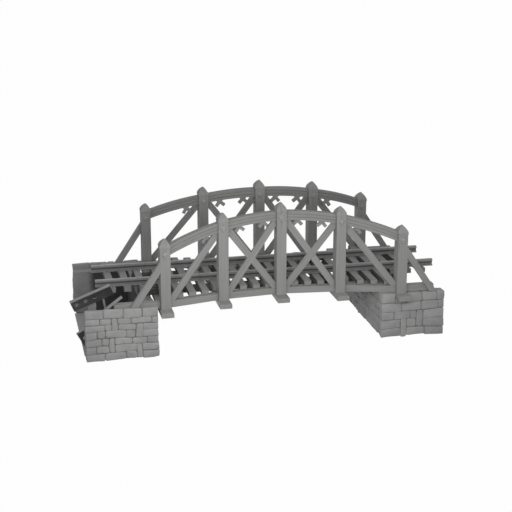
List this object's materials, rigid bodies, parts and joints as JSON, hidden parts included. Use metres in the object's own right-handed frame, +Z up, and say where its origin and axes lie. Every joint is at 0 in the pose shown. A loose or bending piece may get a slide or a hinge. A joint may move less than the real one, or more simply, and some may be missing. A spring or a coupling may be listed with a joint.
{
  "type": "timber railway arch bridge",
  "caption": "Timber railway bridge with two arched, cross-braced side frames on hollow stone abutments, with wrecked track at one end.",
  "frame": {"origin": "middle of the overall length and width, at ground level under the abutments", "axes": "+X along the track towards the shorter abutment, +Y across the track to the far side, +Z up"},
  "size_m": [11.442, 5.32, 4.26],
  "materials": {
    "stone": "coursed rubble, dry grey, rough",
    "timber": "weathered silver-grey sawn timber",
    "sleeper": "weathered grey rough-sawn timber",
    "iron": "dull grey iron"
  },
  "bodies": {
    "root": {"left_breast_wall": "stone", "left_near_wing_wall": "stone", "left_far_wing_wall": "stone", "right_breast_wall": "stone", "right_near_wing_wall": "stone", "right_far_wing_wall": "stone", "left_floor": "stone", "right_floor": "stone", "floor_beam_1": "timber", "floor_beam_2": "timber", "floor_beam_3": "timber", "floor_beam_4": "timber", "floor_beam_5": "timber", "near_post_1": "timber", "near_post_2": "timber", "near_post_3": "timber", "near_post_4": "timber", "near_post_5": "timber", "far_post_1": "timber", "far_post_2": "timber", "far_post_3": "timber", "far_post_4": "timber", "far_post_5": "timber", "near_arch_rail": "timber", "far_arch_rail": "timber", "near_chord": "timber", "far_chord": "timber", "near_rising_braces": "timber", "near_falling_braces": "timber", "far_rising_braces": "timber", "far_falling_braces": "timber", "near_end_rakers": "timber", "far_end_rakers": "timber", "near_brackets": "timber", "far_brackets": "timber", "near_stringer": "timber", "far_stringer": "timber", "long_sleepers": "sleeper", "short_sleepers": "sleeper", "near_rail": "iron", "far_rail": "iron", "fallen_girder": "iron", "fallen_lower_girder": "iron", "broken_props": "sleeper", "rubble_stone": "stone"}
  },
  "joints": []
}
